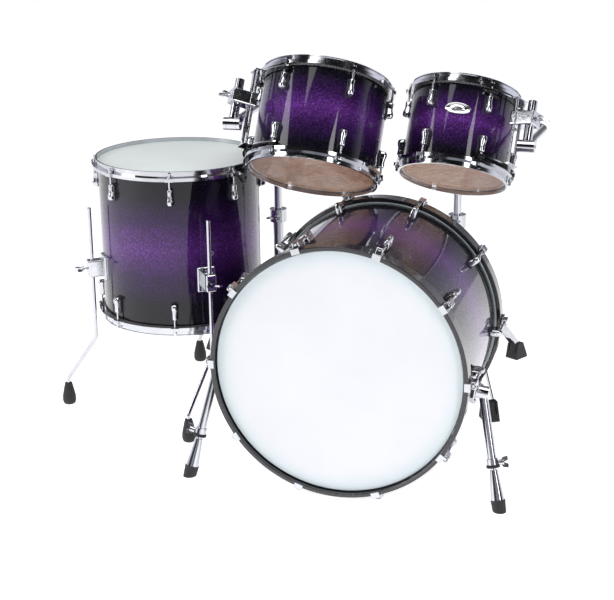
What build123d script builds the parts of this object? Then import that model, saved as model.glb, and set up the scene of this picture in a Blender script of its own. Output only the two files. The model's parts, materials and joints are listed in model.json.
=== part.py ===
from build123d import *
import math
import os

# Acoustic drum kit, millimetres.  +Z is up, the bass drum's axis runs along +Y
# from its front head to its player's side, +X is to the right seen from the
# front.  Everything is laid out about the floor point under the bass drum's
# front rim, and moved at the end so that the origin is the bottom centre of the kit.

# ---- Bass drum -------------------------------------------------------------
BASS_SHELL_R = 278.0
BASS_SHELL_LEN = 457.0
BASS_WALL = 7.5
BASS_HOOP_T = 10.0
BASS_HOOP_W = 38.0
BASS_RISE = 12.0            # how far a hoop stands beyond its head
BASS_LUGS = 10
BASS_LUG_START = 18.0       # degrees from the top to the first lug
BASS_LIFT = 2.8             # hoop to the floor, so that the lowest lugs just clear it

# ---- Floor tom -------------------------------------------------------------
FLOOR_SHELL_R = 203.0
FLOOR_SHELL_LEN = 395.0
FLOOR_X = -545.0
FLOOR_Y = 499.0
FLOOR_BOTTOM = 242.0        # height of the bottom rim above the floor
FLOOR_LUGS = 8
FLOOR_LUG_START = 15.0
LEG_R = 5.0
LEG_OUT = 33.0              # leg rod centre to the shell
LEG_TOP = 540.0
LEG_BEND_TOP = 198.0
LEG_BEND_LOW = 68.0
LEG_KICK = 98.0             # how far the bend carries the foot sideways
LEG_BRACKET_Z = 384.0
LEGS = {"left": (-52.5, -101.0), "right": (37.5, -20.0), "rear": (172.5, 250.0)}

# ---- Rack toms: radius, shell length, bottom rim centre, axis, first lug, mount
WALL = 6.0
TOMS = {
    "tom_12": dict(r=152.5, length=229.0, base=(-165.5, 399.0, 639.0),
                   axis=(0.029, 0.502, 0.864), lug0=-24.0, mount=-54.0),
    "tom_10": dict(r=127.0, length=203.0, base=(157.0, 496.0, 628.5),
                   axis=(0.049, 0.488, 0.871), lug0=-26.0, mount=64.0),
}
TOM_LUGS = 6

# ---- Hoops, heads and tension rods of the floor tom and rack toms ----------
RIM_RISE = 10.0             # hoop top above the head
HOOP_T = 2.0
HOOP_FLANGE_OUT = 14.0      # flange edge to the shell
HOOP_DROP = 7.0             # head down to the flange's seat
HOOP_SKIRT = 6.0
FILM = 0.5
ROD_R = 2.7
ROD_OUT = 9.5               # rod centre to the shell
ROD_CLEAR = 0.4
EAR_OUT = 18.0
EAR_W = 20.0
LUG_W = 15.0
LUG_OUT = 18.0
LUG_LEN = 42.0
LUG_FROM_RIM = 42.0
SEAT = 0.05                 # gap under a piece that sits on a curved shell

# ---- Suspension mounts of the rack toms ------------------------------------
PLATE_Z = 30.0
PLATE_T = 3.0
BAR_R = 4.0
BAR_OUT = 30.0
BAR_SPREAD = 13.0
CLAMP_OUT = 66.0
CLAMP_Z = 142.0
CLAMP_H = 34.0
ARM_R = 11.0
RUN_CLEAR = 0.08            # radial clearance of a sliding fit

# ---- Stands ----------------------------------------------------------------
ARM_BELOW = 66.0            # clamp centre down to the elbow
ARM_ABOVE = 44.0
STAND_TUBE_R = 14.5
STAND_TUBE_TOP = 470.0
STAND_TUBE_LOW = 70.0
STAND_FOOT_R = 270.0
STANDS = {"left": dict(tom="tom_12", at=(-354.0, 725.0), turn=0.0, reach=120.0),
          "right": dict(tom="tom_10", at=(120.0, 780.0), turn=30.0, reach=240.0)}
ARM_TUBE_R = 9.5
ARM_BEND = 45.0
ARM_SPLAY = 0.06            # sideways per unit backwards, away from the tom
FORK_IN = 12.0              # half the gap of the tilter's fork
FORK_OUT = 20.0
LEG_HEAD_Z = 300.0
BRACE_Z = 110.0
STRAP_W = 14.0
STRAP_T = 3.0
STRAP_GAP = 12.0            # half distance between the two straps of a leg

# ---- Spurs -----------------------------------------------------------------
SPUR_Y = 92.0
SPUR_DROP = 8.0             # degrees below the drum's middle
SPUR_OUT = 34.0
SPUR_TUBE_R = 10.0
SPUR_TUBE_LEN = 165.0
SPUR_ROD_R = 6.0
SPUR_LEAN_OUT = 0.215       # sideways per unit of height
SPUR_LEAN_FRONT = 0.247

BASS_FRONT = 0.0
BASS_LEN = BASS_SHELL_LEN + 2 * BASS_RISE
BASS_HOOP_R = BASS_SHELL_R + 4.0 + BASS_HOOP_T
BASS_Z = BASS_HOOP_R + BASS_LIFT
parts = {}
pivots = {}                 # joint name: (a point on its axis, its direction)


def add(name, *solids):
    """Put solids into a node."""
    for item in solids:
        parts.setdefault(name, []).extend(item.solids())


def wing(name, seat, bolt):
    """Place a wing bolt, and note the axis it turns about."""
    add(name, seat * bolt)
    tip = (seat * Pos(0, 0, 1)).position
    pivots[name] = (seat.position, tip - seat.position)


def frame(origin, z_dir, front=(0, -1, 0)):
    """A location with +Z along z_dir and -Y turned as near to front as it goes."""
    up = Vector(*z_dir).normalized()
    ahead = Vector(*front)
    ahead = (ahead - up * up.dot(ahead)).normalized()
    return Location(Plane(origin=origin, x_dir=up.cross(ahead), z_dir=up))


def turned(shape, angle):
    """Turn a piece that was made on the -Y side round to an angle."""
    return Rot(0, 0, angle) * shape


def rod(start, end, radius):
    """A round bar between two points."""
    a, b = Vector(*start), Vector(*end)
    span = b - a
    side = Vector(1, 0, 0) if abs(span.normalized().X) < 0.9 else Vector(0, 1, 0)
    plane = Plane(origin=a, x_dir=span.cross(side).normalized(), z_dir=span.normalized())
    return Location(plane) * Cylinder(radius, span.length, align=(Align.CENTER, Align.CENTER, Align.MIN))


def ring(outer, inner, low, high):
    """A tube about Z."""
    height = high - low
    low_end = (Align.CENTER, Align.CENTER, Align.MIN)
    return Pos(0, 0, low) * (Cylinder(outer, height, align=low_end) - Cylinder(inner, height, align=low_end))


def disc(radius, low, high):
    return Pos(0, 0, low) * Cylinder(radius, high - low, align=(Align.CENTER, Align.CENTER, Align.MIN))


def block(width, near, far, low, high, round_by=0.0):
    """A block on the -Y side between two radii and two heights."""
    shape = Pos(0, -(near + far) / 2, (low + high) / 2) * Box(width, far - near, high - low)
    return fillet(shape.edges(), round_by) if round_by else shape


def post(radius, out, low, high, side=0.0):
    """A round post on the -Y side."""
    return Pos(side, -out, 0) * disc(radius, low, high)


def revolved(points):
    """A ring whose section is a closed outline of (radius, height) points."""
    face = Plane.XZ * make_face(Polyline(*points, close=True))
    return revolve(face, Axis.Z)


def flip(shape, height):
    """Mirror a piece from the top end of a drum to its bottom end."""
    return Pos(0, 0, height) * mirror(shape, Plane.XY)


def wing_bolt(stem, reach=17.0):
    """A wing bolt along +Z: its shank starts at 0 and the wings stand at the end."""
    body = disc(3.0, 0, stem) + disc(6.0, stem - 6, stem + 6)
    wing = Rot(90, 0, 0) * extrude(
        make_face(Polyline((0, stem - 5), (reach, stem + 3), (reach + 2, stem + 14), (reach - 6, stem + 15),
                           (0, stem + 4), (-reach + 6, stem + 15), (-reach - 2, stem + 14),
                           (-reach, stem + 3), close=True)), 2.0, both=True)
    return body + wing


def tension_rod(out, top, tip):
    """A key rod seen from a top hoop: washer and square head above, thread down to tip."""
    shank = post(ROD_R, out, tip, top)
    washer = post(5.2, out, top, top + 1.5)
    collar = post(4.6, out, top + 1.5, top + 4.5)
    head = block(6.0, out - 3.0, out + 3.0, top + 4.5, top + 11.5)
    return shank + washer + collar + head


def small_drum(name, r, length, lugs, lug0, loc):
    """Shell, heads, hoops, lugs and rods of one tom, in its own frame."""
    height = length + 2 * RIM_RISE
    film = height - RIM_RISE
    seat = film - HOOP_DROP
    angles = [lug0 + i * 360.0 / lugs for i in range(lugs)]

    add(name + "_shell", loc * ring(r, r - WALL, RIM_RISE + 0.1, film - 0.1))

    head = revolved([(0, film), (0, film + FILM), (r + 0.8, film + FILM), (r + 0.8, seat), (r + 4.4, seat),
                     (r + 4.4, seat - 7), (r + 0.3, seat - 7), (r + 0.3, film)])
    inner = r + 1.6
    edge = r + HOOP_FLANGE_OUT
    section = [(inner, seat + 0.2), (inner, height), (inner + 4.5, height), (inner + 4.5, height - 2),
               (inner + HOOP_T, height - 3), (inner + HOOP_T, seat + 2.4), (edge, seat + 2.4),
               (edge, seat - HOOP_SKIRT), (edge - 1.6, seat - HOOP_SKIRT), (edge - 1.6, seat + 0.2)]
    hoop = revolved(section)
    for a in angles:
        ear = block(EAR_W, r + HOOP_FLANGE_OUT - 3, r + EAR_OUT, seat - HOOP_SKIRT, seat + 2.4)
        hoop += turned(ear, a)
    for a in angles:
        hoop -= turned(post(ROD_R + ROD_CLEAR, r + ROD_OUT, seat - 20, seat + 6), a)

    rods = [turned(tension_rod(r + ROD_OUT, seat + 2.5, height - LUG_FROM_RIM - 26), a) for a in angles]
    lug = block(LUG_W, r - 4, r + LUG_OUT, height - LUG_FROM_RIM - LUG_LEN, height - LUG_FROM_RIM, 3.5)
    lug -= disc(r + SEAT, 0, height)
    lug -= post(ROD_R + ROD_CLEAR, r + ROD_OUT, height - LUG_FROM_RIM - 28, height)
    tops = [turned(lug, a) for a in angles]

    add(name + "_hoops", loc * hoop, loc * flip(hoop, height))
    add(name + "_lugs", *[loc * s for s in tops], *[loc * flip(s, height) for s in tops])
    add(name + "_tension_rods", *[loc * s for s in rods], *[loc * flip(s, height) for s in rods])
    return loc * head, loc * flip(head, height)


def floor_tom():
    loc = Location((FLOOR_X, FLOOR_Y, FLOOR_BOTTOM))
    r = FLOOR_SHELL_R
    top, bottom = small_drum("floor_tom", r, FLOOR_SHELL_LEN, FLOOR_LUGS, FLOOR_LUG_START, loc)
    add("floor_tom_batter_head", top)
    add("floor_tom_bottom_head", bottom)
    vent = Pos(0, -r - 1.2, 205) * Rot(90, 0, 0) * ring(6.0, 3.0, -1.0, 1.0)
    add("floor_tom_vent", loc * turned(vent, 42.0))
    out = r + LEG_OUT
    z = LEG_BRACKET_Z - FLOOR_BOTTOM
    for name, (angle, kick) in LEGS.items():
        bracket = block(46, r - 6, r + 7, z - 32, z + 32, 4.0)
        bracket += block(26, r + 4, out + 13, z - 22, z + 22, 4.0)
        bracket -= disc(r + SEAT, 0, 400)
        bracket -= post(LEG_R + RUN_CLEAR, out, 0, 400)
        stem = Pos(0, -out - 5.6, z) * Rot(90, 0, 0) * disc(3.3, 0, 30)
        bracket -= stem
        add("floor_tom_leg_brackets", loc * turned(bracket, angle))
        seat = loc * Rot(0, 0, angle) * Pos(0, -out - 5.6, z) * Rot(90, 0, 0)
        wing(f"floor_leg_wing_{name}", seat, wing_bolt(21))

        a = math.radians(angle)
        k = math.radians(kick)
        x = FLOOR_X + out * math.sin(a)
        y = FLOOR_Y - out * math.cos(a)
        fx = x + LEG_KICK * math.sin(k)
        fy = y - LEG_KICK * math.cos(k)
        line = FilletPolyline((x, y, LEG_TOP), (x, y, LEG_BEND_TOP), (fx, fy, LEG_BEND_LOW), (fx, fy, 12), radius=24)
        leg = sweep(Plane(origin=line @ 0, z_dir=line % 0) * Circle(LEG_R), line)
        add(f"floor_leg_rod_{name}", leg)
        foot = revolved([(LEG_R + 0.1, 58), (9, 58), (12, 46), (17, 22), (17.5, 10), (15, 2), (12, 0), (0, 0),
                         (0, 11.5), (LEG_R + 0.1, 11.5)])
        add(f"floor_leg_foot_{name}", Pos(fx, fy, 0) * foot)


def rack_tom(name, spec):
    loc = frame(spec["base"], spec["axis"])
    r = spec["r"]
    height = spec["length"] + 2 * RIM_RISE
    heads = small_drum(name, r, spec["length"], TOM_LUGS, spec["lug0"], loc)
    add(name + "_heads", *heads)

    span = 360.0 / TOM_LUGS
    mount = spec["mount"]
    frame_parts = []
    for low in (PLATE_Z, height - PLATE_Z - PLATE_T):
        plate = ring(r + 21, r + 3, low, low + PLATE_T)
        wedge = make_face(Polyline((0, 0), (r * 2 * math.sin(math.radians(span / 2 + 6)),
                                   -r * 2 * math.cos(math.radians(span / 2 + 6))), (0, -r * 2.2),
                                   (-r * 2 * math.sin(math.radians(span / 2 + 6)),
                                    -r * 2 * math.cos(math.radians(span / 2 + 6))), close=True))
        plate &= extrude(Pos(0, 0, low - 1) * wedge, PLATE_T + 2)
        plate += block(2 * BAR_SPREAD + 14, r + 10, r + BAR_OUT + 8, low, low + PLATE_T)
        for side in (-span / 2, span / 2):
            plate -= turned(post(7.1, r + ROD_OUT, low - 1, low + PLATE_T + 1), side)
            boot = ring(7.0, ROD_R + ROD_CLEAR, low - 3, low + PLATE_T + 3)
            boot += ring(9.0, ROD_R + ROD_CLEAR, low - 3, low - 0.1)
            boot += ring(9.0, ROD_R + ROD_CLEAR, low + PLATE_T + 0.1, low + PLATE_T + 3)
            add(name + "_isolators", loc * turned(Pos(0, -r - ROD_OUT, 0) * boot, mount + side))
        frame_parts.append(plate)
    for side in (-BAR_SPREAD, BAR_SPREAD):
        bar = post(BAR_R, r + BAR_OUT, PLATE_Z + PLATE_T, height - PLATE_Z - PLATE_T, side)
        frame_parts.append(bar)
    clamp = block(2 * BAR_SPREAD + 18, r + BAR_OUT - 8, r + BAR_OUT + 9, CLAMP_Z - CLAMP_H / 2,
                  CLAMP_Z + CLAMP_H / 2, 3.0)
    clamp += block(38, r + BAR_OUT + 4, r + CLAMP_OUT + 17, CLAMP_Z - CLAMP_H / 2, CLAMP_Z + CLAMP_H / 2, 4.0)
    clamp -= post(ARM_R + RUN_CLEAR, r + CLAMP_OUT, 0, height)
    for side in (-BAR_SPREAD, BAR_SPREAD):
        clamp -= post(BAR_R + SEAT, r + BAR_OUT, 0, height, side)
    clamp -= Pos(0, -r - CLAMP_OUT - ARM_R - 0.4, CLAMP_Z) * Rot(90, 0, 0) * disc(3.3, 0, 30)
    frame_parts.append(clamp)
    add(name + "_mount", *[loc * turned(s, mount) for s in frame_parts])
    seat = loc * Rot(0, 0, mount) * Pos(0, -r - CLAMP_OUT - ARM_R - 0.6, CLAMP_Z) * Rot(90, 0, 0)
    wing(name + "_clamp_wing", seat, wing_bolt(15))
    pivots[name] = (Vector(*spec["base"]), Vector(*spec["axis"]).normalized())


def stand(side, spec):
    tom = TOMS[spec["tom"]]
    loc = frame(tom["base"], tom["axis"])
    a = math.radians(tom["mount"])
    out = tom["r"] + CLAMP_OUT
    local = (out * math.sin(a), -out * math.cos(a))
    top = (loc * Pos(*local, CLAMP_Z + ARM_ABOVE)).position
    elbow = (loc * Pos(*local, CLAMP_Z - ARM_BELOW)).position
    x, y = spec["at"]
    back = Vector(ARM_SPLAY * (1 if side == "right" else -1), 1, 0).normalized()
    across = Vector(back.Y, -back.X, 0)

    tube = rod(elbow + (top - elbow).normalized() * 13.0, top, ARM_R)
    knuckle = rod(elbow - across * (FORK_IN - 0.4), elbow + across * (FORK_IN - 0.4), 15.0)
    pin = rod(elbow - across * (FORK_OUT + 3), elbow + across * (FORK_OUT + 3), 4.0)
    add(f"stand_{side}_tom_arm", tube + knuckle + pin)
    pivots[f"arm_{side}"] = (elbow, across)

    ears = rod(elbow - across * FORK_OUT, elbow + across * FORK_OUT, 15.0)
    ears += rod(elbow + back * 12.0, elbow + back * 48.0, 15.0)
    ears -= rod(elbow - across * FORK_IN, elbow + across * FORK_IN, 27.0)
    ears -= rod(elbow - across * 40.0, elbow + across * 40.0, 4.0 + RUN_CLEAR)
    corner_at = Vector(x, y, elbow.Z)
    line = FilletPolyline(elbow + back * 46.0, elbow + back * spec["reach"], corner_at, radius=ARM_BEND)
    arm = sweep(Plane(origin=line @ 0, z_dir=line % 0) * Circle(ARM_TUBE_R), line)
    corner = Pos(x, y, elbow.Z) * disc(18.0, -18.0, 18.0)
    mast = Pos(x, y, 0) * disc(ARM_R, STAND_TUBE_TOP - 170, elbow.Z)
    add(f"stand_{side}_mast", ears + arm + corner + mast)
    pivots[f"mast_{side}"] = (Vector(x, y, STAND_TUBE_TOP), Vector(0, 0, 1))

    base = Pos(x, y, 0)
    tube = base * ring(STAND_TUBE_R, ARM_R + RUN_CLEAR, STAND_TUBE_LOW, STAND_TUBE_TOP)
    collar = base * ring(STAND_TUBE_R + 9, STAND_TUBE_R + SEAT, STAND_TUBE_TOP - 34, STAND_TUBE_TOP)
    hub = base * ring(STAND_TUBE_R + 7, STAND_TUBE_R + SEAT, LEG_HEAD_Z - 14, LEG_HEAD_Z + 14)
    low_hub = base * ring(STAND_TUBE_R + 7, STAND_TUBE_R + SEAT, BRACE_Z - 10, BRACE_Z + 10)
    bolt_hole = base * Pos(0, 0, STAND_TUBE_TOP - 17) * Rot(90, 0, spec["turn"] + 180) * disc(3.3, 11, 40)
    add(f"stand_{side}_base", tube - bolt_hole, collar - bolt_hole, hub, low_hub)
    bolt = base * Pos(0, 0, STAND_TUBE_TOP - 17) * Rot(90, 0, spec["turn"] + 180)
    wing(f"stand_{side}_wing", bolt * Pos(0, 0, ARM_R + 0.6), wing_bolt(20))

    start = STAND_TUBE_R + 8.0
    for k in range(3):
        angle = spec["turn"] + 120.0 * k
        slope = (LEG_HEAD_Z - 40.0) / (STAND_FOOT_R - start)
        for s in (-STRAP_GAP, STRAP_GAP):
            strap = Plane.YZ * make_face(Polyline(
                (-start, LEG_HEAD_Z - 7), (-start, LEG_HEAD_Z + 7), (-start - 8, LEG_HEAD_Z + 7),
                (-STAND_FOOT_R, 40 + 7), (-STAND_FOOT_R - 12, 34), (-STAND_FOOT_R, 26), close=True))
            leg = Pos(s - STRAP_T / 2, 0, 0) * extrude(strap, STRAP_T)
            mid = STAND_FOOT_R * 0.5
            mid_z = LEG_HEAD_Z - slope * (mid - start)
            inner = s * (1.0 - (STRAP_T + 0.6) / STRAP_GAP)
            brace = Plane.YZ * make_face(Polyline(
                (-start, BRACE_Z - 6), (-start, BRACE_Z + 6), (-mid, mid_z + 5), (-mid - 8, mid_z - 3),
                (-mid, mid_z - 9), close=True))
            tie = Pos(inner - STRAP_T / 2, 0, 0) * extrude(brace, STRAP_T)
            add(f"stand_{side}_base", base * turned(leg, angle), base * turned(tie, angle))
        foot = Plane.YZ * make_face(Polyline(
            (-STAND_FOOT_R + 12, 48), (-STAND_FOOT_R + 22, 0), (-STAND_FOOT_R - 30, 0),
            (-STAND_FOOT_R - 24, 14), (-STAND_FOOT_R - 8, 48), close=True))
        shoe = Pos(-19, 0, 0) * extrude(foot, 38)
        for s in (-STRAP_GAP, STRAP_GAP):
            shoe -= Pos(s, -STAND_FOOT_R, 40) * Box(STRAP_T + 0.3, 90, 40)
        shoe = fillet(shoe.edges().filter_by(Axis.X), 3.0)
        add(f"stand_{side}_feet", base * turned(shoe, angle))


def bass_drum():
    loc = frame((0, BASS_FRONT, BASS_Z), (0, 1, 0), (0, 0, 1))
    r = BASS_SHELL_R
    add("bass_shell", loc * ring(r, r - BASS_WALL, BASS_RISE + FILM + 0.1, BASS_LEN - BASS_RISE - FILM - 0.1))
    head = revolved([(0, BASS_RISE), (0, BASS_RISE + FILM), (r + 0.3, BASS_RISE + FILM), (r + 0.3, BASS_RISE + 22),
                     (r + 3.6, BASS_RISE + 22), (r + 3.6, BASS_RISE + 13), (r + 0.9, BASS_RISE + 13),
                     (r + 0.9, BASS_RISE)])
    add("bass_heads", loc * head, loc * flip(head, BASS_LEN))
    hoop = ring(BASS_HOOP_R, BASS_HOOP_R - BASS_HOOP_T, 0, BASS_HOOP_W)
    hoop = fillet(hoop.edges(), 2.0)
    add("bass_hoops", loc * hoop, loc * flip(hoop, BASS_LEN))
    out = BASS_HOOP_R + 8.5
    lug_z = 84.0
    claw = block(20, BASS_HOOP_R - 9, BASS_HOOP_R + 5, -3.2, -0.2, 1.2)
    claw += block(20, BASS_HOOP_R + 0.2, BASS_HOOP_R + 5, -3.2, 24, 1.2)
    claw += block(17, BASS_HOOP_R + 0.2, out + 7, 12, 40, 3.0)
    claw -= post(ROD_R + ROD_CLEAR, out, 0, 60)
    claw -= post(5.6, out, 0, 24)
    screw = post(ROD_R, out, 22, lug_z + 22) + post(5.0, out, 20, 23.9)
    screw += block(6.0, out - 3.0, out + 3.0, 11, 20)
    lug = block(LUG_W, r - 4, out + 8, lug_z, lug_z + 38, 3.5)
    lug -= disc(r + SEAT, 0, BASS_LEN)
    lug -= post(ROD_R + ROD_CLEAR, out, 0, lug_z + 24)
    for i in range(BASS_LUGS):
        a = BASS_LUG_START + i * 360.0 / BASS_LUGS
        for node, piece in (("bass_claws", claw), ("bass_tension_rods", screw), ("bass_lugs", lug)):
            piece = turned(piece, a)
            add(node, loc * piece, loc * flip(piece, BASS_LEN))


def spurs():
    for name, s in (("right", 1), ("left", -1)):
        a = math.radians(SPUR_DROP)
        out = BASS_SHELL_R + SPUR_OUT
        pivot = Vector(s * out * math.cos(a), SPUR_Y, BASS_Z - out * math.sin(a))
        lean = Vector(s * SPUR_LEAN_OUT, -SPUR_LEAN_FRONT, -1).normalized()
        loc = frame((0, SPUR_Y, BASS_Z), (0, 1, 0), (0, 0, 1))
        turn = s * (90 + SPUR_DROP)
        bracket = block(42, BASS_SHELL_R - 6, BASS_SHELL_R + 7, -24, 24, 4.0)
        bracket += block(30, BASS_SHELL_R + 3, BASS_SHELL_R + 20, -17, 17, 3.0)
        bracket -= disc(BASS_SHELL_R + SEAT, -60, 60)
        pin_out = Pos(0, -BASS_SHELL_R, 0) * Rot(90, 0, 0)
        bracket -= pin_out * disc(5.0 + RUN_CLEAR, 8, 40)
        add("spur_brackets", loc * turned(bracket, turn))
        radial = (pivot - Vector(0, SPUR_Y, BASS_Z)).normalized()
        pin = rod(pivot - radial * 24, pivot, 5.0)
        drum_block = rod(pivot - radial * 12.5, pivot + radial * 13, 15.0)
        tube = rod(pivot, pivot + lean * SPUR_TUBE_LEN, SPUR_TUBE_R)
        bore = rod(pivot + lean * 20, pivot + lean * (SPUR_TUBE_LEN + 5), SPUR_ROD_R + RUN_CLEAR)
        cap = rod(pivot + lean * (SPUR_TUBE_LEN - 18), pivot + lean * (SPUR_TUBE_LEN + 2), SPUR_TUBE_R + 3)
        front = Vector(s, 0, s * lean.X).normalized()
        front = (front - lean * lean.dot(front)).normalized()
        root = pivot + lean * (SPUR_TUBE_LEN - 8)
        hole = rod(root, root + front * 30, 3.3)
        add(f"spur_tube_{name}", drum_block + pin + tube + cap - bore - hole)
        bolt_frame = Location(Plane(origin=root + front * (SPUR_ROD_R + 0.4), x_dir=lean, z_dir=front))
        wing(f"spur_wing_{name}", bolt_frame, wing_bolt(14, 11.0))
        pivots[f"spur_{name}"] = (pivot, radial * s)
        pivots[f"spur_rod_{name}"] = (pivot, lean)

        reach = pivot.Z / -lean.Z
        foot = pivot + lean * reach
        cone_top = pivot + lean * (SPUR_TUBE_LEN + 8)
        inner = rod(pivot + lean * 60, foot - lean * 24, SPUR_ROD_R)
        length = (foot - cone_top).length - 26
        cone = Location(Plane(origin=cone_top, x_dir=(0, 1, 0), z_dir=lean)) * Cone(
            9.0, 15.5, length, align=(Align.CENTER, Align.CENTER, Align.MIN))
        add(f"spur_rod_{name}", inner + cone)
        tip_start = cone_top + lean * (length + 0.2)
        tip = Location(Plane(origin=tip_start, x_dir=(0, 1, 0), z_dir=lean)) * Cone(
            16.5, 14.0, 40, align=(Align.CENTER, Align.CENTER, Align.MIN))
        tip -= rod(tip_start - lean, foot - lean * 23.8, SPUR_ROD_R + 0.1)
        tip -= Pos(foot.X, foot.Y, -50) * Box(120, 120, 100)
        add(f"spur_tip_{name}", tip)


def trim():
    loc = frame(TOMS["tom_12"]["base"], TOMS["tom_12"]["axis"])
    r = TOMS["tom_12"]["r"]
    vent = Pos(0, -r - 1.2, 122) * Rot(90, 0, 0) * ring(6.5, 3.0, -1.0, 1.2)
    add("tom_12_vent", loc * turned(vent, 66.0))
    loc = frame(TOMS["tom_10"]["base"], TOMS["tom_10"]["axis"])
    r = TOMS["tom_10"]["r"]
    blank = Rot(90, 0, 0) * extrude(Ellipse(31, 14), r + 3.0)
    blank = Pos(0, 0, 138) * blank - disc(r + 0.1, 0, 250)
    add("tom_10_badge", loc * turned(blank, 3.2))


bass_drum()
spurs()
floor_tom()
for tom_name, tom_spec in TOMS.items():
    rack_tom(tom_name, tom_spec)
for stand_side, stand_spec in STANDS.items():
    stand(stand_side, stand_spec)
trim()

box = Compound([solid for solids in parts.values() for solid in solids]).bounding_box()
SHIFT = Vector(-(box.min.X + box.max.X) / 2, -(box.min.Y + box.max.Y) / 2, -box.min.Z)
os.makedirs("parts", exist_ok=True)
for node, solids in parts.items():
    moved = [Location(SHIFT) * solid for solid in solids]
    shape = moved[0] if len(moved) == 1 else Compound(children=moved)
    export_step(shape, f"parts/{node}.step")
print(len(parts), "nodes, shift", SHIFT, "size", box.size)
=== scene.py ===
import json
import math

import bmesh
import bpy
from mathutils import Matrix, Vector


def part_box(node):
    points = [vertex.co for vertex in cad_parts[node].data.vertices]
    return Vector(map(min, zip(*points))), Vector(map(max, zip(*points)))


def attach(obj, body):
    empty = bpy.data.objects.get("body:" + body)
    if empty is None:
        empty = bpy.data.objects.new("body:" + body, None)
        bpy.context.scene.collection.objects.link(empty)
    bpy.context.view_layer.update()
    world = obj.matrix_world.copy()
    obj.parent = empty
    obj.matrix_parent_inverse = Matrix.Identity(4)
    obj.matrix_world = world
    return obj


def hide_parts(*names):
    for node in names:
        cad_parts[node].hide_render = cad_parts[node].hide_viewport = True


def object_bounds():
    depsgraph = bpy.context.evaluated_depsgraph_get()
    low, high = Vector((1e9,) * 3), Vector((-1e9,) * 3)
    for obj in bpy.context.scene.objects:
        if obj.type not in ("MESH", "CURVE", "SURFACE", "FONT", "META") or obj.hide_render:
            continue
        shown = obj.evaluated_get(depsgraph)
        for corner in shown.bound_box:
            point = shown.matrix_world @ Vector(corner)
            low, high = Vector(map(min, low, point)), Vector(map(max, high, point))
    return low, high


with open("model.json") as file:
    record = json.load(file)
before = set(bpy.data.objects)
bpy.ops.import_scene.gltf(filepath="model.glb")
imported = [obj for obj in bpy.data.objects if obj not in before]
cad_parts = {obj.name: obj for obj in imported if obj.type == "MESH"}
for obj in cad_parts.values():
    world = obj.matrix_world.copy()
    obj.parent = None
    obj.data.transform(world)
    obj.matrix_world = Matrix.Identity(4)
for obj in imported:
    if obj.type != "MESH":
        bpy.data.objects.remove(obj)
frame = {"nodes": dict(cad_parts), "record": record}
cad_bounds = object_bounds()

# ---- Places and sizes, in metres -------------------------------------------
# The layout point is the floor under the bass drum's front rim, on its middle.
hoop_low, hoop_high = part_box("bass_hoops")
LAYOUT = Vector(((hoop_low[0] + hoop_high[0]) / 2, hoop_low[1], 0.0))
BASS_AXIS_Z = (hoop_low[2] + hoop_high[2]) / 2
BASS_DEPTH = hoop_high[1] - hoop_low[1]

RIM_RISE = 0.010                # a hoop's edge beyond the end of its shell
BASS_WALL = 0.0075
TOM_WALL = 0.006
LUG_FROM_RIM = 0.042
LUG_LENGTH = 0.042
TOM_LUG_TALL = 0.018

# r is the shell's radius, height runs from rim to rim, and base is the middle of the
# bottom rim from LAYOUT. lug0 turns the first lug, in degrees. tall, start and length
# are a lug's height off the shell, its distance from the rim and its length.
DRUMS = {
    "bass": dict(r=0.278, height=BASS_DEPTH, base=(0, 0, BASS_AXIS_Z), axis=(0, 1, 0), front=(0, 0, 1),
                 wall=BASS_WALL, lugs=10, lug0=18.0, tall=0.0305, start=0.084, length=0.038, body="root"),
    "floor_tom": dict(r=0.203, height=0.395 + 2 * RIM_RISE, base=(-0.545, 0.499, 0.242), axis=(0, 0, 1),
                      front=(0, -1, 0), wall=TOM_WALL, lugs=8, lug0=15.0, tall=TOM_LUG_TALL,
                      start=LUG_FROM_RIM, length=LUG_LENGTH, body="root"),
    "tom_12": dict(r=0.1525, height=0.229 + 2 * RIM_RISE, base=(-0.1655, 0.399, 0.639),
                   axis=(0.029, 0.502, 0.864), front=(0, -1, 0), wall=TOM_WALL, lugs=6, lug0=-24.0,
                   tall=TOM_LUG_TALL, start=LUG_FROM_RIM, length=LUG_LENGTH, body="tom_12"),
    "tom_10": dict(r=0.127, height=0.203 + 2 * RIM_RISE, base=(0.157, 0.496, 0.6285),
                   axis=(0.049, 0.488, 0.871), front=(0, -1, 0), wall=TOM_WALL, lugs=6, lug0=-26.0,
                   tall=TOM_LUG_TALL, start=LUG_FROM_RIM, length=LUG_LENGTH, body="tom_10"),
}


def drum_matrix(drum):
    """The drum's own frame: +Z up its axis, -Y turned to its front."""
    up = Vector(drum["axis"]).normalized()
    ahead = Vector(drum["front"])
    ahead = (ahead - up * up.dot(ahead)).normalized()
    side = up.cross(ahead)
    turn = Matrix((side, -ahead, up)).transposed().to_4x4()
    return Matrix.Translation(LAYOUT + Vector(drum["base"])) @ turn


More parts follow.
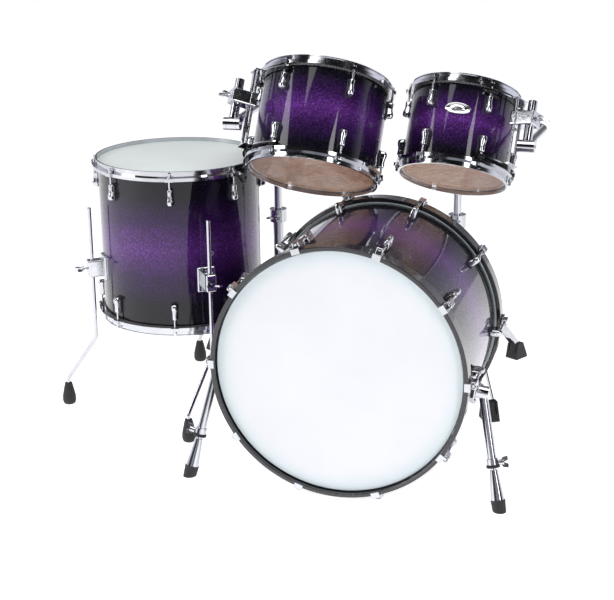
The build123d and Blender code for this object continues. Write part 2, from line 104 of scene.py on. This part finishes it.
# ---- Node helpers ----------------------------------------------------------
class Nodes:
    """A material being built, with one Principled shader."""

    def __init__(self, name):
        self.mat = bpy.data.materials.new(name)
        self.mat.use_nodes = True
        self.tree = self.mat.node_tree
        self.shader = self.tree.nodes["Principled BSDF"]
        self.place = self.tree.nodes.new("ShaderNodeTexCoord").outputs["Object"]

    def add(self, kind, **values):
        node = self.tree.nodes.new(kind)
        for key, value in values.items():
            setattr(node, key, value)
        return node

    def link(self, source, target):
        self.tree.links.new(source, target)

    def put(self, **values):
        """Set plain values on the shader's own sockets."""
        for key, value in values.items():
            socket = self.shader.inputs[key.replace("_", " ")]
            socket.default_value = (*value, 1.0) if isinstance(value, tuple) else value

    def math(self, kind, a, b=0.0):
        node = self.add("ShaderNodeMath", operation=kind)
        for socket, value in zip(node.inputs, (a, b)):
            if isinstance(value, (int, float)):
                socket.default_value = value
            else:
                self.link(value, socket)
        return node.outputs[0]

    def vector(self, kind, a, b=(0, 0, 0), scale=1.0):
        node = self.add("ShaderNodeVectorMath", operation=kind)
        for socket, value in zip(node.inputs, (a, b)):
            if isinstance(value, (tuple, Vector)):
                socket.default_value = value
            else:
                self.link(value, socket)
        if kind == "SCALE":
            node.inputs["Scale"].default_value = scale
        return node

    def noise(self, scale, detail=3.0, rough=0.5, at=None):
        node = self.add("ShaderNodeTexNoise")
        node.inputs["Scale"].default_value = scale
        node.inputs["Detail"].default_value = detail
        node.inputs["Roughness"].default_value = rough
        self.link(at or self.place, node.inputs["Vector"])
        return node.outputs["Fac"]

    def ramp(self, fac, stops):
        node = self.add("ShaderNodeValToRGB")
        points = node.color_ramp.elements
        while len(points) < len(stops):
            points.new(0.5)
        for point, (at, color) in zip(points, stops):
            point.position = at
            point.color = (*color, 1.0)
        self.link(fac, node.inputs["Fac"])
        return node.outputs["Color"]

    def spread(self, fac, low, high):
        """A noise value turned into a range."""
        node = self.add("ShaderNodeMapRange")
        node.inputs["From Min"].default_value = 0.3
        node.inputs["From Max"].default_value = 0.7
        node.inputs["To Min"].default_value = low
        node.inputs["To Max"].default_value = high
        self.link(fac, node.inputs["Value"])
        return node.outputs[0]

    def mix(self, fac, a, b):
        node = self.add("ShaderNodeMix", data_type="RGBA")
        self.link(fac, node.inputs["Factor"])
        for socket, value in zip((node.inputs[6], node.inputs[7]), (a, b)):
            if isinstance(value, tuple):
                socket.default_value = (*value, 1.0)
            else:
                self.link(value, socket)
        return node.outputs[2]

    def bump(self, height, strength, distance):
        node = self.add("ShaderNodeBump")
        node.inputs["Strength"].default_value = strength
        node.inputs["Distance"].default_value = distance
        self.link(height, node.inputs["Height"])
        self.link(node.outputs["Normal"], self.shader.inputs["Normal"])

    def color(self, socket):
        self.link(socket, self.shader.inputs["Base Color"])

    def rough(self, socket):
        self.link(socket, self.shader.inputs["Roughness"])

    def on_drum(self, drum):
        """A point's distance along a drum's axis, and its distance from that axis."""
        matrix = drum_matrix(drum)
        off = self.vector("SUBTRACT", self.place, matrix.translation).outputs["Vector"]
        along = self.vector("DOT_PRODUCT", off, matrix.col[2].to_3d()).outputs["Value"]
        across = self.math("POWER", self.vector("LENGTH", off).outputs["Value"], 2.0)
        radial = self.math("SQRT", self.math("SUBTRACT", across, self.math("POWER", along, 2.0)))
        return along, radial


def chrome(name, tint, low, high):
    """Polished plate with faint smears and a very slight waviness."""
    n = Nodes(name)
    n.put(Metallic=1.0)
    smear = n.noise(38.0, 4.0)
    n.color(n.mix(n.spread(smear, 0.0, 1.0), tint, tuple(c * 0.9 for c in tint)))
    n.rough(n.spread(smear, low, high))
    n.bump(n.noise(210.0, 2.0), 0.05, 0.0006)
    return n.mat


def rubber(name, shade, grain):
    """Moulded rubber with a fine grain and dusty patches."""
    n = Nodes(name)
    dust = n.noise(60.0, 5.0)
    n.color(n.mix(n.spread(dust, 0.0, 1.0), shade, tuple(c * 1.9 + 0.006 for c in shade)))
    n.rough(n.spread(dust, 0.55, 0.78))
    n.bump(n.noise(grain, 3.0), 0.35, 0.0006)
    return n.mat


def black_lacquer():
    """Black gloss over bent wood: a faint grain shows in the shine."""
    n = Nodes("black_lacquer")
    n.put(Coat_Weight=0.7, Coat_Roughness=0.05)
    stretch = n.add("ShaderNodeMapping")
    stretch.inputs["Scale"].default_value = (60.0, 900.0, 60.0)
    n.link(n.place, stretch.inputs["Vector"])
    grain = n.noise(1.0, 4.0, 0.6, stretch.outputs["Vector"])
    n.color(n.mix(n.spread(grain, 0.0, 1.0), (0.006, 0.006, 0.008), (0.016, 0.015, 0.018)))
    n.rough(n.spread(grain, 0.16, 0.3))
    n.bump(grain, 0.08, 0.0004)
    return n.mat


def film(name, shade, edge_shade, drum, coated):
    """White polyester head: slight mottle, a tint towards the rim, a coat's grain."""
    n = Nodes(name)
    radial = n.on_drum(drum)[1]
    share = n.math("DIVIDE", radial, drum["r"])
    dark = tuple(c * 0.96 for c in shade)
    body = n.mix(n.spread(n.noise(7.0, 5.0), 0.0, 1.0), shade, dark)
    rim = n.ramp(share, [(0.0, (0, 0, 0)), (0.86, (0, 0, 0)), (0.985, (1, 1, 1))])
    n.color(n.mix(rim, body, edge_shade))
    n.put(Roughness=0.55 if coated else 0.34)
    n.bump(n.noise(1500.0 if coated else 300.0, 3.0, 0.7), 0.35 if coated else 0.05, 0.0004)
    return n.mat


def clear_film():
    """Thin clear film with faint haze; the drum's inside shows through."""
    n = Nodes("clear_film")
    haze = n.noise(16.0, 4.0)
    n.color(n.mix(n.spread(haze, 0.0, 1.0), (0.86, 0.84, 0.84), (0.76, 0.74, 0.74)))
    n.link(n.spread(haze, 0.10, 0.17), n.shader.inputs["Alpha"])
    n.rough(n.spread(haze, 0.03, 0.1))
    return n.mat


def lacquer(name, drum):
    """Sparkle burst: black edges fading to purple, flakes, deep gloss; tan plies inside."""
    n = Nodes(name + "_lacquer")
    along, radial = n.on_drum(drum)
    share = n.math("DIVIDE", along, drum["height"])
    cloud = n.math("MULTIPLY", n.math("SUBTRACT", n.noise(9.0, 4.0), 0.5), 0.10)
    burst = n.ramp(n.math("ADD", share, cloud), BURST)

    flakes = n.add("ShaderNodeTexVoronoi")
    flakes.inputs["Scale"].default_value = FLAKES_PER_M
    n.link(n.place, flakes.inputs["Vector"])
    tone = n.add("ShaderNodeSeparateColor")
    n.link(flakes.outputs["Color"], tone.inputs["Color"])
    lit = n.ramp(tone.outputs["Red"], [(0.0, (0.5, 0.5, 0.5)), (0.7, (1, 1, 1)), (0.9, (2.0, 1.9, 2.2)),
                                       (1.0, (3.6, 3.3, 4.0))])
    glitter = n.add("ShaderNodeMix", data_type="RGBA", blend_type="MULTIPLY")
    glitter.inputs["Factor"].default_value = 1.0
    n.link(burst, glitter.inputs[6])
    n.link(lit, glitter.inputs[7])

    plies = n.add("ShaderNodeMapping")
    plies.inputs["Scale"].default_value = (14.0, 14.0, 90.0)
    n.link(n.place, plies.inputs["Vector"])
    grain = n.noise(3.0, 6.0, 0.6, plies.outputs["Vector"])
    wood = n.ramp(grain, WOOD)
    outside = n.math("GREATER_THAN", radial, drum["r"] - drum["wall"] * LACQUERED_SHARE)
    n.color(n.mix(outside, wood, glitter.outputs[2]))
    n.link(n.math("MULTIPLY", outside, 0.25), n.shader.inputs["Metallic"])
    n.rough(n.math("SUBTRACT", 0.5, n.math("MULTIPLY", outside, 0.2)))

    centred = n.vector("SUBTRACT", flakes.outputs["Color"], (0.5, 0.5, 0.5)).outputs["Vector"]
    lean = n.vector("SCALE", centred, scale=FLAKE_LEAN).outputs["Vector"]
    normal = n.add("ShaderNodeNewGeometry").outputs["Normal"]
    tilted = n.vector("NORMALIZE", n.vector("ADD", normal, lean).outputs["Vector"]).outputs["Vector"]
    n.link(tilted, n.shader.inputs["Normal"])
    n.put(Coat_Weight=1.0, Coat_Roughness=0.04, Coat_IOR=1.42, Specular_IOR_Level=0.04)
    return n.mat


FLAKES_PER_M = 620.0
FLAKE_LEAN = 0.28
LACQUERED_SHARE = 0.35          # share of the wall that the lacquer colours at the edges
EDGE, NEAR_EDGE = (0.004, 0.003, 0.006), (0.005, 0.004, 0.009)
FADE, PURPLE = (0.028, 0.008, 0.058), (0.085, 0.022, 0.155)
BURST = [(0.0, EDGE), (0.18, NEAR_EDGE), (0.36, FADE), (0.52, PURPLE), (0.68, FADE), (0.84, NEAR_EDGE),
         (1.0, EDGE)]
WOOD = [(0.25, (0.42, 0.22, 0.12)), (0.5, (0.62, 0.37, 0.23)), (0.75, (0.78, 0.52, 0.36))]
CHROME = chrome("chrome", (0.60, 0.61, 0.64), 0.05, 0.14)
RUBBER = rubber("foot_rubber", (0.014, 0.014, 0.015), 420.0)
BADGE = chrome("badge_plate", (0.84, 0.85, 0.86), 0.12, 0.22)
BOOT = rubber("isolator_rubber", (0.010, 0.010, 0.011), 700.0)
CLEAR = clear_film()
MATERIALS = {"chrome": CHROME, "rubber": RUBBER, "isolator_rubber": BOOT, "clear_film": CLEAR,
             "black_wood": black_lacquer()}
BASS_FILM = film("bass_film", (0.86, 0.87, 0.90), (0.76, 0.85, 0.88), DRUMS["bass"], False)
FLOOR_FILM = film("floor_film", (0.92, 0.97, 0.95), (0.80, 0.88, 0.86), DRUMS["floor_tom"], True)


def paint(obj, material):
    obj.data.materials.clear()
    obj.data.materials.append(material)


SLOTS = {entry["node"]: entry["material_slot"] for entry in frame["record"]["subparts"]}
for node, obj in frame["nodes"].items():
    if SLOTS[node] in MATERIALS:
        paint(obj, MATERIALS[SLOTS[node]])
for drum_name, drum in DRUMS.items():
    paint(frame["nodes"][drum_name + "_shell"], lacquer(drum_name, drum))
paint(frame["nodes"]["bass_heads"], BASS_FILM)
paint(frame["nodes"]["floor_tom_batter_head"], FLOOR_FILM)


# ---- Pieces built here -----------------------------------------------------
def mesh_piece(name, verts, faces, material, body, smooth=True):
    """A new object that rides on a body."""
    mesh = bpy.data.meshes.new(name)
    mesh.from_pydata(verts, [], faces)
    bm = bmesh.new()
    bm.from_mesh(mesh)
    bmesh.ops.recalc_face_normals(bm, faces=bm.faces)
    bm.to_mesh(mesh)
    bm.free()
    for poly in mesh.polygons:
        poly.use_smooth = smooth
    piece = bpy.data.objects.new(name, mesh)
    bpy.context.scene.collection.objects.link(piece)
    paint(piece, material)
    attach(piece, body)
    return piece


def lofted(sections, steps, power):
    """Half-round sections (place, width, height) skinned into a closed body.
    x is across, y is the height off the shell, z runs along."""
    verts, faces = [], []
    for z, width, tall in sections:
        for i in range(steps + 1):
            a = math.pi * i / steps
            x = math.copysign(abs(math.cos(a)) ** power, math.cos(a)) * width / 2
            y = math.sin(a) ** power * tall
            verts.append(Vector((x, y, z)))
    row = steps + 1
    for j in range(len(sections) - 1):
        for i in range(row):
            k = (i + 1) % row
            faces.append((j * row + i, j * row + k, (j + 1) * row + k, (j + 1) * row + i))
    faces.append(tuple(range(row)))
    last = (len(sections) - 1) * row
    faces.append(tuple(last + i for i in range(row)))
    return verts, faces


# share of the length, share of the width, share of the height
LUG_FORM = [(0.0, 0.45, 0.55), (0.015, 0.66, 0.72), (0.05, 0.80, 0.82), (0.12, 0.84, 0.86),
            (0.30, 0.78, 0.82), (0.48, 0.80, 0.84), (0.60, 0.92, 0.94), (0.70, 1.0, 1.0),
            (0.84, 1.0, 1.0), (0.92, 0.92, 0.92), (0.97, 0.76, 0.76), (0.995, 0.5, 0.5),
            (1.0, 0.3, 0.3)]
# share of the length, share of the width
GASKET_FORM = [(-0.0012, 0.70), (0.0, 0.82), (0.004, 1.02), (0.6, 1.02), (0.75, 1.18), (0.95, 1.16),
               (1.01, 0.8), (1.04, 0.6)]
LUG_WIDTH = 0.0165
LUG_STEPS, LUG_POWER = 18, 0.62
GASKET_TALL = 0.0022
GASKET_STEPS, GASKET_POWER = 10, 0.35
LUG_LIFT = 0.0006               # a lug stands this far off the shell, on its gasket
SUNK = 0.0003                   # how far a piece's foot dips into the curved shell


def lug_sets(name, drum):
    """All lugs of a drum and the black gaskets under them."""
    matrix = drum_matrix(drum)
    body_verts, body_faces, pad_verts, pad_faces = [], [], [], []
    lug = lofted([(s * drum["length"], w * LUG_WIDTH, h * drum["tall"]) for s, w, h in LUG_FORM],
                 LUG_STEPS, LUG_POWER)
    pad = lofted([(s * drum["length"], w * LUG_WIDTH, GASKET_TALL) for s, w in GASKET_FORM],
                 GASKET_STEPS, GASKET_POWER)
    pieces = ((lug, LUG_LIFT, body_verts, body_faces), (pad, 0.0, pad_verts, pad_faces))
    for i in range(drum["lugs"]):
        turn = Matrix.Rotation(math.radians(drum["lug0"] + i * 360.0 / drum["lugs"]), 4, "Z")
        for top in (True, False):
            for (verts, faces), lift, out_v, out_f in pieces:
                first = len(out_v)
                for v in verts:
                    z = drum["start"] + v.z
                    z = drum["height"] - z if top else z
                    out_v.append(matrix @ turn @ Vector((v.x, -(drum["r"] + lift + v.y - SUNK), z)))
                out_f.extend(tuple(first + k for k in face) for face in faces)
    lugs = mesh_piece(name + "_lug_castings", body_verts, body_faces, CHROME, drum["body"])
    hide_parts(name + "_lugs")
    mesh_piece(name + "_lug_gaskets", pad_verts, pad_faces, BOOT, drum["body"])


for drum_name, drum in DRUMS.items():
    lug_sets(drum_name, drum)


def badge():
    """A plain oval plate with a raised rim and a blank raised centre, bent to the shell."""
    drum = DRUMS["tom_10"]
    matrix = drum_matrix(drum)
    half_w, half_h, centre_z, turn = 0.031, 0.014, 0.138, math.radians(3.2)
    # share of the plate's radius, height off the shell
    form = [(0.0, 0.0024), (0.30, 0.0024), (0.42, 0.0023), (0.46, 0.0015), (0.70, 0.0014),
            (0.76, 0.0022), (0.80, 0.0028), (0.90, 0.0030), (0.97, 0.0024), (1.0, 0.0004)]
    steps = 72
    verts, faces = [], []
    for share, rise in form:
        for i in range(steps):
            a = 2 * math.pi * i / steps
            bend = turn + half_w * share * math.cos(a) / drum["r"]
            out = drum["r"] + rise
            z = centre_z + half_h * share * math.sin(a)
            verts.append(matrix @ Vector((out * math.sin(bend), -out * math.cos(bend), z)))
    for j in range(len(form) - 1):
        for i in range(steps):
            k = (i + 1) % steps
            faces.append((j * steps + i, j * steps + k, (j + 1) * steps + k, (j + 1) * steps + i))
    faces.append(tuple((len(form) - 1) * steps + i for i in range(steps)))
    plate = mesh_piece("tom_10_badge_plate", verts, faces, BADGE, "tom_10")
    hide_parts("tom_10_badge")


def spun(name, profile, start, direction, material, body, steps=48):
    """A turned piece: (distance along, radius) points spun about a line."""
    along = Vector(direction).normalized()
    side = along.orthogonal().normalized()
    other = along.cross(side)
    verts, faces = [], []
    for place, radius in profile:
        for i in range(steps):
            a = 2 * math.pi * i / steps
            spoke = (side * math.cos(a) + other * math.sin(a)) * radius
            verts.append(Vector(start) + along * place + spoke)
    count = len(profile)
    for j in range(count):
        for i in range(steps):
            k = (i + 1) % steps
            low_row, high_row = j * steps, (j + 1) % count * steps
            faces.append((low_row + i, low_row + k, high_row + k, high_row + i))
    return mesh_piece(name, verts, faces, material, body)


SPUR_DROP = math.radians(8.0)   # the spurs' pivots below the bass drum's middle
SPUR_OUT = 0.034                # and beyond its shell
SPUR_FROM_RIM = 0.092
SPUR_LEAN = (0.215, -0.247, -1.0)
SLEEVE_AT = 0.1605              # along the tube from its pivot
SLEEVE_LENGTH = 0.0070
SLEEVE_EDGE = 0.0008


def spur_sleeves():
    """Black nylon sleeves over the lower ends of the spur tubes."""
    reach = DRUMS["bass"]["r"] + SPUR_OUT
    rise = BASS_AXIS_Z - reach * math.sin(SPUR_DROP)
    inner, outer = 0.0132, 0.0150
    profile = [(0.0, inner), (0.0, outer - SLEEVE_EDGE), (SLEEVE_EDGE, outer),
               (SLEEVE_LENGTH - SLEEVE_EDGE, outer), (SLEEVE_LENGTH, outer - SLEEVE_EDGE),
               (SLEEVE_LENGTH, inner)]
    for side, s in (("right", 1), ("left", -1)):
        pivot = LAYOUT + Vector((s * reach * math.cos(SPUR_DROP), SPUR_FROM_RIM, rise))
        lean = Vector((s * SPUR_LEAN[0], SPUR_LEAN[1], SPUR_LEAN[2])).normalized()
        start = pivot + lean * SLEEVE_AT
        spun(f"spur_sleeve_{side}", profile, start, lean, BOOT, f"spur_{side}")


badge()
spur_sleeves()


# ---- Floor, light and camera -----------------------------------------------
def stage_card(name, size, at, look, material):
    bpy.ops.mesh.primitive_plane_add(size=1.0, location=at)
    card = bpy.context.object
    card.name = name
    card.scale = (size[0], size[1], 1.0)
    card.rotation_euler = (Vector(look) - Vector(at)).to_track_quat("Z", "Y").to_euler()
    card.data.materials.append(material)
    return card


def area_light(name, size, at, look, power, color=(1, 1, 1)):
    data = bpy.data.lights.new(name, "AREA")
    data.shape = "RECTANGLE"
    data.size, data.size_y = size
    data.energy = power
    data.color = color
    lamp = bpy.data.objects.new(name, data)
    lamp.location = at
    lamp.rotation_euler = (Vector(look) - Vector(at)).to_track_quat("-Z", "Y").to_euler()
    bpy.context.scene.collection.objects.link(lamp)


floor = Nodes("studio_floor")
floor_patches = floor.spread(floor.noise(1.4, 3.0), 0.0, 1.0)
floor_shade = floor.mix(floor_patches, (0.90, 0.90, 0.91), (0.88, 0.88, 0.89))
floor.color(floor_shade)
floor.put(Roughness=0.8, Emission_Color=(1.0, 1.0, 1.0), Emission_Strength=0.86)
stage_card("studio_floor", (40.0, 40.0), (0, 0, 0), (0, 0, 1), floor.mat)


def studio_world():
    """Soft daylight, bright near the horizon and dim overhead, with a dim room in front and
    one dim band behind. Where it is seen directly it is a plain white backdrop."""
    world = bpy.data.worlds.new("studio")
    bpy.context.scene.world = world
    world.use_nodes = True
    tree = world.node_tree
    place = tree.nodes.new("ShaderNodeTexCoord").outputs["Generated"]

    def band(direction, stops):
        dot = tree.nodes.new("ShaderNodeVectorMath")
        dot.operation = "DOT_PRODUCT"
        dot.inputs[1].default_value = direction
        tree.links.new(place, dot.inputs[0])
        ramp = tree.nodes.new("ShaderNodeValToRGB")
        points = ramp.color_ramp.elements
        while len(points) < len(stops):
            points.new(0.5)
        for point, (at, shade) in zip(points, stops):
            point.position = at
            point.color = (shade, shade, shade * 1.04, 1.0)
        tree.links.new(dot.outputs["Value"], ramp.inputs["Fac"])
        return ramp.outputs["Color"]

    def times(a, b):
        node = tree.nodes.new("ShaderNodeMix")
        node.data_type = "RGBA"
        node.blend_type = "MULTIPLY"
        node.inputs["Factor"].default_value = 1.0
        tree.links.new(a, node.inputs[6])
        tree.links.new(b, node.inputs[7])
        return node.outputs[2]

    height = band((0, 0, 1), [(0.0, 1.0), (0.22, 0.95), (0.36, 0.40), (0.55, 0.16), (1.0, 0.12)])
    front = band((0.30, -0.95, 0), [(0.0, 1.0), (0.08, 1.0), (0.30, 0.07), (0.86, 0.06), (0.90, 0.5),
                                    (0.97, 0.5), (1.0, 0.06)])
    rear = band((-0.2, 0.98, 0), [(0.0, 1.0), (0.80, 1.0), (0.88, 0.2), (0.96, 0.2), (1.0, 0.9)])
    light = times(height, times(front, rear))
    seen = tree.nodes.new("ShaderNodeMix")
    seen.data_type = "RGBA"
    seen.inputs[7].default_value = (1.0, 1.0, 1.0, 1.0)
    tree.links.new(tree.nodes.new("ShaderNodeLightPath").outputs["Is Camera Ray"], seen.inputs["Factor"])
    tree.links.new(light, seen.inputs[6])
    background = tree.nodes["Background"]
    tree.links.new(seen.outputs[2], background.inputs["Color"])
    background.inputs["Strength"].default_value = 1.0


studio_world()
low, high = cad_bounds
middle = Vector([(a + b) / 2 for a, b in zip(low, high)])
area_light("key_left", (1.2, 2.2), middle + Vector((-2.6, -1.9, 1.5)), middle, 42.0)
area_light("key_top", (2.2, 1.6), middle + Vector((0.2, -0.6, 2.3)), middle, 34.0)
area_light("strip_right", (0.35, 2.2), middle + Vector((2.1, -1.7, 0.9)), middle, 16.0)

# The eye stands in front and to the right of the bass drum's front rim.
EYE = LAYOUT + Vector((0.770, -2.851, 1.4265))
AZIMUTH = math.radians(16.31)
PITCH = math.radians(17.96)
ROLL = -0.0109
camera_data = bpy.data.cameras.new("camera")
camera_data.sensor_width = 36.0
camera_data.sensor_fit = "HORIZONTAL"
camera_data.lens = 84.7
camera = bpy.data.objects.new("camera", camera_data)
turned = Matrix.Rotation(AZIMUTH, 4, "Z")
tipped = Matrix.Rotation(math.pi / 2 - PITCH, 4, "X")
rolled = Matrix.Rotation(ROLL, 4, "Z")
camera.matrix_world = Matrix.Translation(EYE) @ turned @ tipped @ rolled
bpy.context.scene.collection.objects.link(camera)
bpy.context.scene.camera = camera
bpy.context.scene.view_settings.view_transform = "Standard"

bpy.context.view_layer.update()
